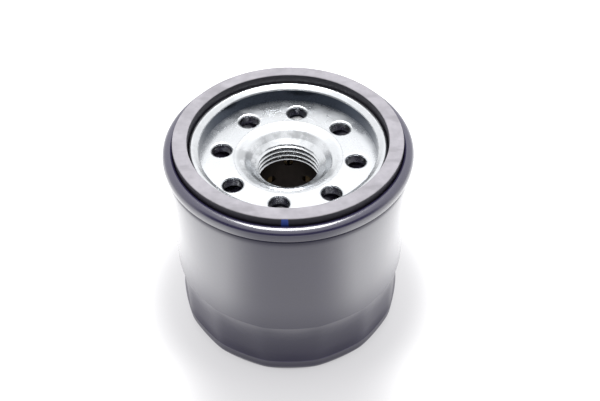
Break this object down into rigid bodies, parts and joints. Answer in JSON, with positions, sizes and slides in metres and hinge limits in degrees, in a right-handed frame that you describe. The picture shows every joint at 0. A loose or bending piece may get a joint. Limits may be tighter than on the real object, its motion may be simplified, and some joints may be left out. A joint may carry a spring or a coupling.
{
  "type": "spin-on oil filter",
  "caption": "Spin-on oil filter: painted steel can with wrench flats, threaded base plate with inlet ports, face gasket, pleated element, anti-drainback and bypass valves.",
  "frame": {"origin": "centre of the closed end, on the surface that the filter stands on", "axes": "+Z along the thread's axis, from the closed end to the threaded end; -Y towards the middle of one wrench flat"},
  "size_m": [0.0696, 0.0696, 0.065],
  "materials": {
    "can_paint": "semi-gloss black paint",
    "lid_paint": "semi-gloss black paint on the seam, bright zinc on the lip inside the gasket",
    "seam_compound": "cured latex compound",
    "gasket_rubber": "moulded nitrile, dusty grey on its face",
    "zinc_plate": "bright zinc plating",
    "nitrile": "smooth black nitrile",
    "tinplate": "plain tinplate",
    "adhesive": "cured plastisol",
    "filter_paper": "resin-treated cellulose paper",
    "spring_steel": "oiled spring steel"
  },
  "bodies": {
    "housing": {"canister": "can_paint", "seaming_lid": "lid_paint", "seam_compound": "seam_compound", "gasket": "gasket_rubber", "base_plate": "zinc_plate", "upper_end_cap": "tinplate", "upper_potting": "adhesive", "pleated_media": "filter_paper", "media_seam_clip": "tinplate", "center_tube": "tinplate", "lower_potting": "adhesive", "lower_end_cap": "tinplate", "bypass_seat_ring": "tinplate", "bypass_spring": "spring_steel", "bypass_cage": "tinplate", "element_spring": "spring_steel"},
    "drainback_flap": {"anti_drainback_valve": "nitrile"},
    "bypass_valve": {"bypass_disc_seal": "nitrile", "bypass_disc": "zinc_plate", "bypass_guide_pin": "spring_steel"}
  },
  "joints": [
    {"name": "bypass_lift", "type": "slide", "parent": "housing", "child": "bypass_valve", "axis": [0, 0, 1], "range_m": [0, 0.0025], "stiffness_N_per_m": 2000, "springref_m": -0.0045, "deforming": ["bypass_spring"]},
    {"name": "drainback_flex", "type": "slide", "parent": "housing", "child": "drainback_flap", "axis": [0, 0, -1], "range_m": [0, 0.001], "stiffness_N_per_m": 500, "springref_m": -0.001, "deforming": ["anti_drainback_valve"]}
  ]
}
